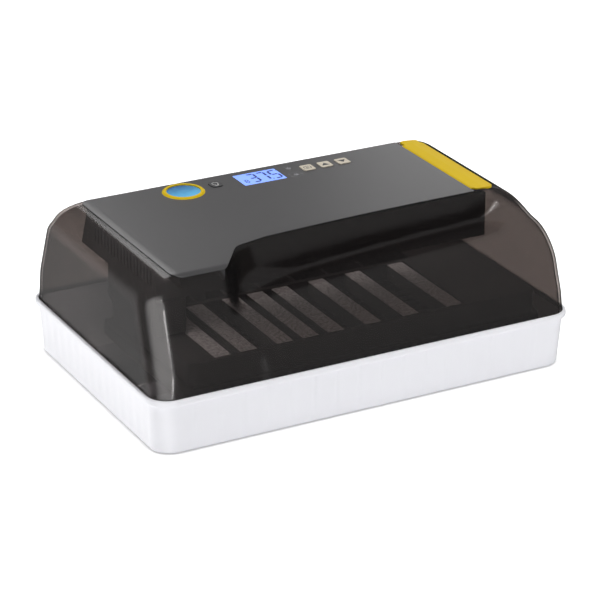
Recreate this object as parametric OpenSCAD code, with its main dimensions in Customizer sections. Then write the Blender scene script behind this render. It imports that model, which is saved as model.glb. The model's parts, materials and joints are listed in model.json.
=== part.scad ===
// Desktop egg incubator: white base, smoked lift-off cover, control head with fan, heater and
// keys under its top, and an egg turner that a rack and pinion slide from side to side.
// Millimetres. Origin: middle of the underside. X: length, Y: front (-) to back (+), Z: up.

/* [Body] */
// Length of the cover where it meets the base
cover_len = 360; // [352:1:372]
// Width of the cover where it meets the base
cover_wid = 233.2; // [231:0.2:238]
// Height of the rim that the cover sits in
rim_z = 46; // [45:0.5:47]
// Height of the cover's flat top
top_z = 130.4; // [130:0.2:133]
// How far the rim stands out around the cover
rim_out = 3; // [2:0.25:4]
// How much smaller the base is at the floor, each side
base_draft = 2.4; // [1:0.1:4]
// Wall of the white base
base_wall = 2.8; // [2.4:0.1:3.2]

/* [Cover] */
// Wall of the smoked cover
wall = 2.2; // [1.8:0.1:2.4]
// Length of the round at each end of the roof
end_r = 34; // [30:1:36]
// Height of the round at each end of the roof
end_h = 21; // [19:1:26]
// Radius of the roof's corners, but for the front left one
roof_corner_r = 8; // [6:1:14]
// Radius of the cover's upright corners
corner_r = 17; // [12:1:20]
// Backward lean of the front wall, run over rise
front_lean = 0.323; // [0.3:0.005:0.34]
// Forward lean of the back wall, run over rise
back_lean = 0.397; // [0.38:0.005:0.4]
// Height of the low window at the middle of its back edge
window_z = 98.8; // [97:0.2:101]
// Rise of the low window towards the right end, rise over run
window_rise = 0.045; // [0:0.005:0.05]
// Forward fall of the low window, degrees
window_tilt = 5; // [4:0.5:10]
// Radius from the low window into the front wall
window_r = 30; // [20:1:32]
// Place of the wall behind the low window, at its right end
step_y = -45; // [-46:0.5:-45]

/* [Egg turner] */
// How far the turner slides
turner_travel = 28; // [20:1:28]
// Module of the rack and pinion
gear_module = 1; // [1:1:1]
// Teeth on the drive pinion
pinion_teeth = 16; // [14:1:16]
// Width of one egg divider
divider_w = 13.5; // [10:0.5:14]

/* [Controls] */
// Travel of each key
key_travel = 0.8; // [0.5:0.1:0.8]
// Gap round each key
key_gap = 0.2; // [0.15:0.05:0.3]
// Radius of the candler's ring
ring_r = 17.2; // [16.8:0.1:18]
// Radius of the candler's lens
lens_r = 13.8; // [12:0.1:14]

/* [Fan] */
// Side of the fan's square frame
fan_side = 72; // [68:1:74]
// Blades on the rotor
fan_blades = 7; // [5:1:9]

/* [Hidden] */
$fn = 48;
eps = 0.01;
hull_fn = 32;

// base
foot_h = 1;
foot_r = 7;
floor_t = 3;
floor_z = foot_h + floor_t;
rim_h = 4.8;
ledge_z = rim_z - 2.4;
rim_gap = 0.25;
half_x = cover_len / 2;
half_y = cover_wid / 2;
trough_wall = 2;
trough_h = 12;
trough_y = [-66, -24, 58];
inner_x = half_x - base_draft - 1;

// cover
skin_t = 0.6;
end_lean = 1.2;
arc_x = half_x - end_lean - end_r;
arc_z = top_z - end_h;
wing_x = -97;
tongue = [-104, -88];
bend_at = [-74, -72];
bend_r = 16;
bend_a = [145, 108];

// egg floor and turner, x0 x1 y0 y1
floor_box = [-148, 166, -97, 54];
floor_top = 40;
glide_h = 1.5;
frame_box = [-142, 162, -95, 50];
frame_z = [41.8, 60];
rail = 4;
mid_y = [5, 9.5];
bay_x = [-120, 98];
seat_z = 47;
seat_w = 2.5;
divider_top = 59.6;
divider_x = [-112.5, -90.5, -59.5, -37.5, -15.5, 17, 50.5, 89.5];
rib_x = [-86, -59, -29, 1, 31, 63.5];
rib_t = 2.4;
back_bay_end = 106;
deck_t = 2.5;

// drive
pinion_r = gear_module * pinion_teeth / 2;
pinion_at = [-128, mid_y[1] + 2.5 + pinion_r];
pinion_z = [48, 58];
shaft_r = 3;
backlash = 0.3;
motor_at = [-117.5, pinion_at[1]];
motor_r = 24;
motor_z = [95, 112];
motor_ear = 29;

// control box
box_x = 145;
box_z = [91, 127.6];
box_t = 2;
box_front = step_y + 2.5;
box_back = [95, 80.4];
wing_z = 119.5;
boss_xy = [[-84, -36], [138, -36], [36, -36], [-136, 73], [50, 38], [128, 73]];
boss_z = 112;
boss_r = 4;
board_z = 120.4;
board_t = 1.6;
board_post = [[-90, 50], [-90, 74], [86, 50], [86, 74]];

// top controls
key_x = [41.2, 57.2, 73.3];
key_y = 63.2;
key_size = [10.4, 11.4];
lamp_key = [-41, 64.8];
lamp_key_size = [10, 12];
lcd_at = [-2.2, 63.2];
lcd_size = [37.6, 24];
ring_at = [-70.2, 62.6];
light_at = [[27, 69.5], [26.4, 54.5]];
key_top = top_z + skin_t + 0.6;

// fan and heater
fan_at = [0, 20];
fan_z = [100, 115];
fan_r = fan_side / 2 - 3;
blade_r = fan_r - 2;
hub_r = 13;
spindle_r = 1.5;
fan_hole = fan_side / 2 - 4.5;

// refill flap and spout
flap_x = [135.6, 154.5];
flap_y = [-40, 81.5];
flap_t = 1.6;
flap_sink = 1;
hinge_z = top_z - 0.9;
barrel_r = 1.3;
barrel_y = [-37, 72];
pin_r = 0.6;
spout_at = [149.7, 70];
spout_z = [82, 125.8];
spout_r = [3.9, 4.6];

// inlet
probe_at = [60, -20];
probe_r = 2.4;
inlet_x = 104;
inlet_z = 108;

// ---------- shared shapes ----------

function on_circle(c, r, a) = c + r * [cos(a), sin(a)];
function arc(c, r, a0, a1, n) = [for (i = [0:n]) on_circle(c, r, a0 + (a1 - a0) * i / n)];

function slant_y(z, side) = side < 0
    ? -half_y + (z - rim_z) * front_lean
    : half_y - (z - rim_z) * back_lean;

// rectangle x0..x1, y0..y1 with round corners
module round_rect(x0, x1, y0, y1, r) {
    n = hull_fn / 4;
    polygon(concat(
        arc([x1 - r, y1 - r], r, 0, 90, n),
        arc([x0 + r, y1 - r], r, 90, 180, n),
        arc([x0 + r, y0 + r], r, 180, 270, n),
        arc([x1 - r, y0 + r], r, 270, 360, n)
    ));
}

module slab(x0, x1, y0, y1, z0, z1, r) {
    translate([0, 0, z0]) linear_extrude(z1 - z0) round_rect(x0, x1, y0, y1, r);
}

module box(x0, x1, y0, y1, z0, z1) {
    translate([x0, y0, z0]) cube([x1 - x0, y1 - y0, z1 - z0]);
}

module rod(at, r, z0, z1) {
    translate([at[0], at[1], z0]) cylinder(r = r, h = z1 - z0);
}

// profile given as [y, z] points, drawn out along X
module along_x(x0, x1) {
    translate([x0, 0, 0]) rotate([90, 0, 90]) linear_extrude(x1 - x0) children();
}

// rod along Y
module rod_y(x, z, r, y0, y1) {
    translate([x, y0, z]) rotate([-90, 0, 0]) cylinder(r = r, h = y1 - y0);
}

// ---------- cover ----------

// thin level of the roof, with its large corner at the front left
module roof_level(x, y0, y1, z) {
    n = hull_fn / 4;
    r = roof_corner_r;
    big = corner_r - 3;
    translate([0, 0, z - eps]) linear_extrude(eps) polygon(concat(
        arc([x - r, y1 - r], r, 0, 90, n),
        arc([r - x, y1 - r], r, 90, 180, n),
        arc([big - x, y0 + big], big, 180, 270, n),
        arc([x - r, y0 + r], r, 270, 360, n)
    ));
}

// closed dome, grown by g on every face but the bottom
module dome(g, z0) {
    levels = [for (a = [0:15:90]) [arc_x + (end_r + g) * cos(a), arc_z + (end_h + g) * sin(a)]];
    foot = max(z0, rim_z);
    hull() {
        slab(-half_x - g, half_x + g, slant_y(foot, -1) - g, slant_y(foot, 1) + g, z0, z0 + eps, corner_r);
        for (p = levels)
            roof_level(p[0], slant_y(p[1], -1) - g, slant_y(p[1], 1) + g, p[1]);
    }
}

// top edge of the wall round the low window, from its left front to its right end, moved back by g
function step_line(g) = concat(
    [[wing_x - g, -half_y - 20], [wing_x - g, tongue[1] - 8], [tongue[0] - g, tongue[1]]],
    arc(bend_at, bend_r + g, bend_a[0], bend_a[1], 4),
    [[-61, -51.8 + g], [-25, -49.4 + g], [30, step_y - 1.5 + g], [half_x + 20, step_y + g]]
);

// centre of the round between the low window, at height z, and the front wall
function window_centre(z) =
    let (
        up = [-sin(window_tilt), cos(window_tilt)],
        lean = atan(front_lean),
        out = [-cos(lean), sin(lean)],
        c1 = up * [step_y, z] - window_r,
        c2 = out * [-half_y, rim_z] - window_r,
        d = up[0] * out[1] - up[1] * out[0]
    ) [(c1 * out[1] - c2 * up[1]) / d, (up[0] * c2 - out[0] * c1) / d];

// end view of what lies under the low window, at the x given, grown by g
module window_profile(x, g) {
    z = window_z + window_rise * x;
    c = window_centre(z);
    lean = atan(front_lean);
    low = [c[0], c[1]] + (window_r + g) * [cos(180 - lean), sin(180 - lean)];
    along_x(x, x + eps) polygon(concat(
        [[half_y, 0], [half_y, z + g + tan(window_tilt) * (half_y - step_y)]],
        arc(c, window_r + g, 90 + window_tilt, 180 - lean, 8),
        [[low[0] - front_lean * low[1], 0]]
    ));
}

// the cover's outside, grown by g
module cover_form(g, z0) {
    intersection() {
        dome(g, z0);
        union() {
            hull() {
                window_profile(-half_x - 2, g);
                window_profile(half_x + 2, g);
            }
            translate([0, 0, rim_z - 10]) linear_extrude(top_z) difference() {
                square(3 * half_x, center = true);
                polygon(concat(step_line(-g), [[half_x + 20, -half_y - 20]]));
            }
        }
    }
}

module key_hole(at, size, grow, r) {
    slab(at[0] - size[0] / 2 - grow, at[0] + size[0] / 2 + grow,
         at[1] - size[1] / 2 - grow, at[1] + size[1] / 2 + grow, top_z - 6, top_z + 6, r);
}

// every opening through the top that the controls need
module top_holes(ring) {
    for (x = key_x) key_hole([x, key_y], key_size, key_gap, 1.6);
    key_hole(lamp_key, lamp_key_size, key_gap, 4);
    key_hole(lcd_at, lcd_size, 0, 1);
    rod(ring_at, ring, top_z - 6, top_z + 6);
    for (p = light_at) rod(p, 2.2, top_z - 6, top_z + 6);
}

module flap_plan(g) {
    slab(flap_x[0] - barrel_r - g, flap_x[1] + g, flap_y[0] - g, flap_y[1] + g, top_z - 12, top_z + 6, 6);
}

module cover_shell() {
    color([0.35, 0.31, 0.3, 0.55]) difference() {
        union() {
            difference() {
                cover_form(0, ledge_z);
                cover_form(-wall, ledge_z - 1);
            }
            box(flap_x[0] - 3.2, flap_x[0] + 3, barrel_y[0] - 3.5, barrel_y[1] + 3.5,
                top_z - 4.2, top_z - wall + eps);
            for (p = boss_xy) rod(p, boss_r, boss_z, top_z - wall + eps);
        }
        for (p = boss_xy) rod(p, 1.5, boss_z - 1, boss_z + 12);
        top_holes(lens_r + 1.2);
        difference() {
            flap_plan(0.35);
            dome(-flap_sink, rim_z);
        }
        rod_y(flap_x[0], hinge_z, barrel_r + 0.35, barrel_y[0] - 0.4, barrel_y[1] + 0.4);
        rod_y(flap_x[0], hinge_z, pin_r, barrel_y[0] - 2.5, barrel_y[1] + 2.5);
        rod(spout_at, spout_r[0], arc_z, top_z + 5);
        inlet_block(0.1);
        for (i = [0:2]) box(-60 + 24 * i, -44 + 24 * i, 60, 120, 96, 99);
    }
}

module panel_skin() {
    front = slant_y(top_z, -1) + 1.4;
    back = slant_y(top_z, 1) - 1.2;
    line = step_line(1.4);
    color([0.36, 0.35, 0.36]) difference() {
        dome(skin_t, rim_z);
        dome(0, rim_z - 1);
        translate([0, 0, rim_z - 2]) linear_extrude(top_z) difference() {
            square(3 * half_x, center = true);
            polygon(concat(
                [[flap_x[0] - 2, back], [flap_x[0] - 2, step_y + 1.6]],
                [for (i = [len(line) - 2:-1:3]) line[i]],
                arc([tongue[0] - 7, front + 7], 7, -35, -90, 5),
                arc([-142, front + 9], 9, 270, 180, 6),
                arc([-145, back - 6], 6, 180, 90, 6)
            ));
        }
        top_holes(lens_r + 1.2);
    }
}

module refill_flap() {
    color([0.83, 0.72, 0.16]) difference() {
        union() {
            intersection() {
                difference() {
                    dome(flap_t - flap_sink, rim_z);
                    dome(-flap_sink, rim_z - 1);
                }
                slab(flap_x[0], flap_x[1], flap_y[0], flap_y[1], top_z - 12, top_z + 6, 5.5);
            }
            rod_y(flap_x[0], hinge_z, barrel_r, barrel_y[0], barrel_y[1]);
        }
        rod_y(flap_x[0], hinge_z, pin_r + 0.05, flap_y[0] - 1, flap_y[1] + 1);
        box(flap_x[0] - 3, flap_x[0] + 1.6, flap_y[0] - 1, barrel_y[0], top_z - 5, top_z + 5);
        box(flap_x[0] - 3, flap_x[0] + 1.6, barrel_y[1], flap_y[1] + 1, top_z - 5, top_z + 5);
        rod([flap_x[1] + 3, 76], 5, top_z - 12, top_z + 6);
    }
}

module flap_pin() {
    color("silver") rod_y(flap_x[0], hinge_z, pin_r, barrel_y[0] - 2.4, barrel_y[1] + 2.4);
}

module refill_spout() {
    color("black") difference() {
        union() {
            rod(spout_at, spout_r[1], spout_z[0], spout_z[1]);
            box(box_x, spout_at[0], spout_at[1] - 1, spout_at[1] + 1, 92, 118);
        }
        rod(spout_at, spout_r[0], spout_z[0] - 1, top_z);
    }
}

// ---------- control box and what it holds ----------

// end view of the tub, shrunk by g, carried up by rise past its open top
module box_profile(g, rise) {
    polygon([
        [box_front + g, box_z[0] + g], [box_front + g, box_z[1] + rise],
        [box_back[1] - g, box_z[1] + rise], [box_back[0] - g, box_z[0] + g]
    ]);
}

module control_box() {
    wing = [-box_x, tongue[0] - 4, slant_y(top_z, -1) + 3.2, box_front + box_t];
    color([0.12, 0.12, 0.12]) difference() {
        union() {
            difference() {
                union() {
                    along_x(-box_x, box_x) box_profile(0, 0);
                    box(wing[0], wing[1], wing[2], wing[3], wing_z, box_z[1]);
                }
                along_x(-box_x + box_t, box_x - box_t) box_profile(box_t, 1);
                box(wing[0] + box_t, wing[1] - box_t, wing[2] + box_t, wing[3] + 1,
                    wing_z + box_t, box_z[1] + 1);
            }
            for (p = boss_xy) rod(p, boss_r, box_z[0] + 1, boss_z);
            for (p = board_post) rod(p, boss_r, box_z[0] + 1, board_z);
            for (p = fan_post()) rod(p, boss_r, box_z[0] + 1, fan_z[0]);
            for (p = motor_post()) rod(p, 3.5, box_z[0] + 1, motor_z[0]);
        }
        for (p = boss_xy) {
            rod(p, 1.5, box_z[0] - 1, boss_z + 1);
            rod(p, 3, box_z[0] - 1, box_z[0] + 1.8);
        }
        for (p = board_post) rod(p, 1.2, board_z - 8, board_z + 1);
        for (p = fan_post()) rod(p, 1.75, box_z[0] + 1.5, fan_z[0] + 1);
        for (p = motor_post()) rod(p, 1.2, box_z[0] + 1, motor_z[0] + 1);
        rod(fan_at, fan_hole, box_z[0] - 1, box_z[0] + 3);
        rod(pinion_at, shaft_r + 1, box_z[0] - 1, box_z[0] + 3);
        rod(probe_at, probe_r, box_z[0] - 1, box_z[0] + 3);
        for (y = [-36:6:66], s = [-1, 1])
            box(s * box_x - 3, s * box_x + 3, y, y + 2.4, 101, 121);
        inlet_block(0.1);
    }
}

module screw(at, head_r, head_h, r, z0, z1) {
    rod(at, head_r, z0, z0 + head_h);
    rod(at, r, z0, z1);
}

module box_screws() {
    color("silver") for (p = boss_xy) difference() {
        screw(p, 2.8, 1.7, 1.5, box_z[0] + 0.1, boss_z + 10);
        box(p[0] - 2, p[0] + 2, p[1] - 0.4, p[1] + 0.4, box_z[0], box_z[0] + 0.9);
    }
}

module turner_housing() {
    h = [-145, -119, -44, 48];
    color([0.13, 0.13, 0.13]) difference() {
        slab(h[0], h[1], h[2], h[3], 63, box_z[0], 4);
        slab(h[0] + 2, h[1] - 2, h[2] + 2, h[3] - 2, 65, box_z[0] + 1, 2.5);
        rod(pinion_at, shaft_r + 0.5, 62, 66);
    }
}

module turner_motor() {
    color("silver") difference() {
        union() {
            rod(motor_at, motor_r, motor_z[0], motor_z[1]);
            for (s = [-1, 1]) hull() {
                rod([motor_at[0] + 5, motor_at[1] + s * motor_ear], 3.5, motor_z[0], motor_z[0] + 1.2);
                rod([motor_at[0] + 5, motor_at[1] + s * 15], 6, motor_z[0], motor_z[0] + 1.2);
            }
        }
        for (p = motor_post()) rod(p, 1.5, motor_z[0] - 1, motor_z[0] + 3);
        rod(pinion_at, shaft_r + 0.05, motor_z[0] - 1, motor_z[0] + 8);
    }
}

module motor_screws() {
    color("gold") for (s = [-1, 1]) {
        p = [motor_at[0] + 5, motor_at[1] + s * motor_ear];
        rod(p, 2.6, motor_z[0] + 1.2, motor_z[0] + 2.6);
        rod(p, 1.2, box_z[0] + 2.5, motor_z[0] + 1.2);
    }
}

module drive_shaft() {
    color("silver") rod(pinion_at, shaft_r, pinion_z[0] - 1, motor_z[0] + 7);
}

// involute flank: point at radius r on a gear of base radius rb
function inv(a) = tan(a) * 180 / PI - a;
function flank(r, rb, half) = let (a = acos(min(1, rb / r)), t = half - inv(a)) [r, t];

module gear(m, n, h, bore) {
    rp = m * n / 2;
    rb = rp * cos(20);
    root = rp - 1.25 * m;
    tip = rp + 0.95 * m;
    thick = 90 / n - backlash / rp * 90 / PI;
    base_half = thick + inv(20);
    radii = [for (i = [0:5]) max(rb, root) + (tip - max(rb, root)) * i / 5];
    side = [for (r = radii) flank(r, rb, base_half)];
    linear_extrude(h) difference() {
        polygon([for (k = [0:n - 1]) let (mid = k * 360 / n)
            each concat(
                [root * [cos(mid - base_half), sin(mid - base_half)]],
                [for (p = side) p[0] * [cos(mid - p[1]), sin(mid - p[1])]],
                [for (i = [5:-1:0]) side[i][0] * [cos(mid + side[i][1]), sin(mid + side[i][1])]],
                [root * [cos(mid + base_half), sin(mid + base_half)]]
            )]);
        circle(r = bore);
    }
}

module drive_pinion() {
    color("ivory") translate([pinion_at[0], pinion_at[1], pinion_z[0]]) rotate([0, 0, 90])
        gear(gear_module, pinion_teeth, pinion_z[1] - pinion_z[0], shaft_r);
}

module fan_frame() {
    side = fan_side / 2;
    color([0.1, 0.1, 0.1]) difference() {
        union() {
            difference() {
                slab(fan_at[0] - side, fan_at[0] + side, fan_at[1] - side, fan_at[1] + side,
                     fan_z[0], fan_z[1], 5);
                rod(fan_at, fan_r, fan_z[0] - 1, fan_z[1] + 1);
            }
            rod(fan_at, hub_r, fan_z[1] - 3, fan_z[1]);
            for (a = [45:90:315]) translate([fan_at[0], fan_at[1], fan_z[1] - 3]) rotate([0, 0, a])
                translate([hub_r - 1, -1.5, 0]) cube([fan_r - hub_r + 2, 3, 2.5]);
        }
        rod(fan_at, spindle_r + 0.05, fan_z[0] - 1, fan_z[1] + 1);
        for (p = fan_post()) rod(p, 1.8, fan_z[0] - 1, fan_z[1] + 1);
    }
}

module fan_rotor() {
    color([0.16, 0.16, 0.17]) {
        difference() {
            union() {
                rod(fan_at, hub_r, fan_z[0] + 1, fan_z[1] - 3.6);
                for (i = [0:fan_blades - 1]) translate([fan_at[0], fan_at[1], fan_z[0] + 6])
                    rotate([0, 0, i * 360 / fan_blades]) rotate([38, 0, 0])
                    translate([hub_r - 2, -7, -0.7]) cube([blade_r - hub_r + 1.4, 14, 1.4]);
            }
            rod(fan_at, blade_r + 20, fan_z[0] - 20, fan_z[0] + 0.8);
            rod(fan_at, blade_r + 20, fan_z[1] - 3.6, fan_z[1] + 20);
        }
        rod(fan_at, spindle_r, fan_z[1] - 4, fan_z[1] - 0.4);
    }
}

module fan_guard() {
    color([0.1, 0.1, 0.1]) {
        for (r = [8:6:26]) difference() {
            rod(fan_at, r + 1, box_z[0] - 1.6, box_z[0] - 0.2);
            rod(fan_at, r - 0.4, box_z[0] - 2, box_z[0] + 1);
        }
        difference() {
            rod(fan_at, fan_hole + 4, box_z[0] - 1.6, box_z[0]);
            rod(fan_at, fan_hole - 1, box_z[0] - 2, box_z[0] + 1);
        }
        difference() {
            for (a = [0:45:135]) translate([fan_at[0], fan_at[1], box_z[0] - 1.6]) rotate([0, 0, a])
                translate([-fan_hole, -0.9, 0]) cube([2 * fan_hole, 1.8, 1.2]);
            rod(fan_at, 3, box_z[0] - 2, box_z[0] + 1);
        }
    }
}

function fan_post() = [for (x = [-1, 1], y = [-1, 1]) fan_at + [x, y] * (fan_side / 2 - 5)];
function motor_post() = [for (s = [-1, 1]) [motor_at[0] + 5, motor_at[1] + s * motor_ear]];

module fan_screws() {
    color("silver") for (p = fan_post()) {
        rod(p, 1.75, box_z[0] + 2.2, fan_z[1]);
        rod(p, 3.1, fan_z[1], fan_z[1] + 1.8);
    }
}

module heater_coil() {
    color("chocolate")
        translate([fan_at[0], fan_at[1], 96.4]) rotate_extrude() translate([23, 0]) circle(r = 1.8);
}

module heater_mount() {
    color("white") difference() {
        for (a = [0:90:270]) translate([fan_at[0], fan_at[1], box_z[0] + box_t]) rotate([0, 0, a])
            translate([19.5, -2.5, 0]) cube([fan_hole - 17, 5, 6.2]);
        translate([fan_at[0], fan_at[1], 96.4]) rotate_extrude() translate([23, 0]) circle(r = 1.8);
        rod(fan_at, 19, box_z[0], 100);
    }
}

module control_board() {
    color("darkgreen") difference() {
        box(-94, 90, 46, 78, board_z, board_z + board_t);
        for (p = board_post) rod(p, 1.3, board_z - 1, board_z + 3);
    }
    color("black") for (x = [-30, 34, 60]) box(x, x + 9, 66, 74, board_z - 2, board_z);
}

module board_screws() {
    color("silver") for (p = board_post) {
        rod(p, 2.4, board_z + board_t, board_z + board_t + 1.6);
        rod(p, 1.2, board_z - 6, board_z + board_t);
    }
}

module power_supply() {
    z = box_z[0] + 7.6;
    color("darkgreen") box(68, 131, -30, 32, z - board_t, z);
    color("gold") box(74, 100, -24, 0, z, z + 17);
    color("navy") for (x = [110, 122]) rod([x, 18], 5, z, z + 15);
    color("white") for (x = [72, 127], y = [-26, 28]) rod([x, y], 2.5, box_z[0] + box_t, z - board_t);
}

module display_module() {
    l = lcd_size / 2;
    color([0.7, 0.72, 0.75]) difference() {
        slab(lcd_at[0] - l[0] - 2.5, lcd_at[0] + l[0] + 2.5, lcd_at[1] - l[1] - 1.6, lcd_at[1] + l[1] + 1.6,
             board_z + board_t, top_z - wall - 0.2, 1.5);
        slab(lcd_at[0] - l[0], lcd_at[0] + l[0], lcd_at[1] - l[1], lcd_at[1] + l[1],
             top_z - wall - 2, top_z, 1);
    }
}

module display_window() {
    l = lcd_size / 2;
    color([0.55, 0.65, 0.95]) slab(lcd_at[0] - l[0], lcd_at[0] + l[0], lcd_at[1] - l[1], lcd_at[1] + l[1],
        top_z - wall - 2, top_z + skin_t - 0.1, 1);
}

module key(at, size, r) {
    slab(at[0] - size[0] / 2, at[0] + size[0] / 2, at[1] - size[1] / 2, at[1] + size[1] / 2,
         top_z - wall - 1, key_top, r);
    slab(at[0] - size[0] / 2 - 1.2, at[0] + size[0] / 2 + 1.2,
         at[1] - size[1] / 2 - 1.2, at[1] + size[1] / 2 + 1.2,
         top_z - wall - 1, top_z - wall - 0.1, r);
}

module set_key() { color("cornsilk") key([key_x[0], key_y], key_size, 1.4); }
module up_key() { color("cornsilk") key([key_x[1], key_y], key_size, 1.4); }
module down_key() { color("cornsilk") key([key_x[2], key_y], key_size, 1.4); }
module lamp_key() { color([0.2, 0.2, 0.2]) key(lamp_key, lamp_key_size, 3.8); }

module key_switches() {
    places = concat([for (x = key_x) [x, key_y]], [lamp_key]);
    color("dimgray") for (p = places) {
        box(p[0] - 3, p[0] + 3, p[1] - 3, p[1] + 3, board_z + board_t, board_z + board_t + 3.4);
        rod(p, 1.7, board_z + board_t + 3.4, top_z - wall - 1.1 - key_travel);
    }
}

module status_lights() {
    color([0.5, 0.52, 0.55]) for (p = light_at) rod(p, 2.2, top_z - wall, top_z + skin_t);
}

module candler_ring() {
    color([0.85, 0.74, 0.2]) difference() {
        union() {
            rod(ring_at, lens_r + 1.2, top_z - wall - 1.5, top_z + skin_t);
            translate([ring_at[0], ring_at[1], top_z + skin_t])
                cylinder(r1 = ring_r, r2 = ring_r - 1.2, h = 1);
        }
        rod(ring_at, lens_r, top_z - 10, top_z + 10);
    }
}

module candler_lens() {
    color([0.25, 0.5, 0.8]) rod(ring_at, lens_r, top_z - wall - 1.5, top_z + skin_t);
}

module candler_led() {
    color("white") rod(ring_at, 9, board_z + board_t, board_z + board_t + 1.2);
    color("khaki") rod(ring_at, 3.5, board_z + board_t + 1.2, top_z - wall - 2.2);
}

module temp_probe() {
    color("black") {
        rod(probe_at, probe_r, 82, box_z[0] + box_t + 1.5);
        translate([probe_at[0], probe_at[1], 82]) sphere(r = probe_r);
        rod(probe_at, probe_r + 1.6, box_z[0] + box_t, box_z[0] + box_t + 1.5);
    }
}

// outer block of the inlet, grown by g
module inlet_block(g) {
    box(inlet_x - 12 - g, inlet_x + 12 + g, 72, slant_y(inlet_z, 1) + 1.2, inlet_z - 7 - g, inlet_z + 7 + g);
}

module power_inlet() {
    face = slant_y(inlet_z, 1) + 1.2;
    color([0.08, 0.08, 0.08]) difference() {
        inlet_block(0);
        slab_y(inlet_x, inlet_z, 17, 8.6, face - 12, face + 1);
    }
    color("silver") for (s = [-1, 1]) rod_y(inlet_x + s * 4.3, inlet_z, 1.15, face - 12.5, face - 3);
}

// round-ended socket mouth along Y
module slab_y(x, z, w, h, y0, y1) {
    box(x - w / 2 + h / 2, x + w / 2 - h / 2, y0, y1, z - h / 2, z + h / 2);
    for (s = [-1, 1]) rod_y(x + s * (w - h) / 2, z, h / 2, y0, y1);
}

// ---------- base ----------

module ring_wall(x0, x1, y0, y1, z0, z1, t, r) {
    difference() {
        slab(x0, x1, y0, y1, z0, z1, r);
        slab(x0 + t, x1 - t, y0 + t, y1 - t, z0 - 1, z1 + 1, r - t);
    }
}

// solid with the base's drafted sides, grown by g
module base_block(g, z0, z1) {
    x0 = half_x + 0.6 - base_draft;
    y0 = half_y + 0.6 - base_draft;
    hull() {
        slab(-x0 - g, x0 + g, -y0 - g, y0 + g, z0, z0 + eps, corner_r - 2);
        slab(-half_x - 0.6 - g, half_x + 0.6 + g, -half_y - 0.6 - g, half_y + 0.6 + g,
             z1 - eps, z1, corner_r);
    }
}

module base_tray() {
    rx = half_x + rim_out;
    ry = half_y + rim_out - 0.1;
    color([0.94, 0.94, 0.97]) difference() {
        union() {
            difference() {
                base_block(0, foot_h, rim_z - 1);
                base_block(-base_wall, floor_z, rim_z);
            }
            ring_wall(-rx, rx, -ry, ry, rim_z - rim_h, rim_z, rim_out + base_wall - 1, corner_r + 2);
            for (y = trough_y) box(-inner_x, inner_x, y, y + trough_wall, floor_z - 1, floor_z + trough_h);
        }
        slab(-half_x - rim_gap, half_x + rim_gap, -half_y - rim_gap, half_y + rim_gap,
             ledge_z, rim_z + 1, corner_r);
        for (p = foot_xy()) rod(p, foot_r + 0.1, foot_h - 1, foot_h + 1.5);
    }
}

function foot_xy() = [for (x = [-1, 1], y = [-1, 1]) [x * (half_x - 26), y * (half_y - 26)]];

module foot_pads() {
    color([0.75, 0.75, 0.77]) for (p = foot_xy()) rod(p, foot_r, 0, foot_h + 1.5);
}

module egg_floor() {
    f = floor_box;
    color([0.17, 0.16, 0.17]) {
        difference() {
            union() {
                slab(f[0], f[1], f[2], f[3], 30, floor_top, 6);
                for (y = [frame_box[2] + 1, mid_y[0] + 1, frame_box[3] - 3])
                    box(f[0] + 8, f[1] - 8, y, y + 2, floor_top - 1, floor_top + glide_h);
            }
            slab(f[0] + 2, f[1] - 2, f[2] + 2, f[3] - 2, 29, floor_top - 2.5, 4);
            for (i = [0:5], j = [0:8])
                box(-136 + 49 * i, -136 + 49 * i + 40, -88 + 10 * j, -84.5 + 10 * j, 36, 42);
            for (i = [0:5], j = [0:3])
                box(-136 + 49 * i, -136 + 49 * i + 40, 11 + 9 * j, 14.5 + 9 * j, 36, 42);
        }
        for (x = [-120, -20, 80, 150], y = [-84, 42]) rod([x, y], 4, floor_z, floor_top - 2);
    }
}

// rack on the back of the turner's middle rail
module turner_rack() {
    p = PI * gear_module;
    line = pinion_at[1] - pinion_r;
    half = p / 4 - backlash / 2;
    root = gear_module * 1.6;
    tip = gear_module * 0.95;
    last = ceil(turner_travel / p) + 2;
    z = pinion_z + [0, 1];
    color([0.17, 0.17, 0.18]) {
        box(pinion_at[0] - 2 * p, pinion_at[0] + (last + 1) * p,
            mid_y[1], line - gear_module * 1.3, z[0], z[1]);
        for (k = [-2:last]) translate([pinion_at[0] + (k + 0.5) * p, line, z[0]])
            linear_extrude(z[1] - z[0]) polygon([
                [-half - tan(20) * root, -root], [half + tan(20) * root, -root],
                [half - tan(20) * tip, tip], [-half + tan(20) * tip, tip]
            ]);
    }
}

module turner_frame() {
    f = frame_box;
    z = frame_z;
    color([0.17, 0.17, 0.18]) {
        difference() {
            slab(f[0], f[1], f[2], f[3], z[0], z[1], 7);
            box(bay_x[0], bay_x[1], f[2] + rail, mid_y[0], z[0] - 1, z[1] + 1);
            box(f[0] + rail, back_bay_end, mid_y[1], f[3] - rail, z[0] - 1, z[1] + 1);
            box(bay_x[1] + rail, f[1] - rail, f[2] + rail, mid_y[0] - 2, z[0] - 1, z[1] - deck_t);
            box(back_bay_end + rail, f[1] - rail, mid_y[1], f[3] - rail, z[0] - 1, z[1] - deck_t);
            box(f[0] + rail, bay_x[0] - rail, f[2] + rail, mid_y[0] - 2, z[0] - 1, z[1] - deck_t);
        }
        for (y = [f[2] + rail, mid_y[0] - seat_w])
            box(bay_x[0], bay_x[1], y, y + seat_w, z[0], seat_z);
    }
}

module back_ribs() {
    f = frame_box;
    color([0.17, 0.17, 0.18]) for (x = rib_x)
        box(x - rib_t / 2, x + rib_t / 2, mid_y[1], f[3] - rail, frame_z[0] + 2, frame_z[1]);
}

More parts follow.
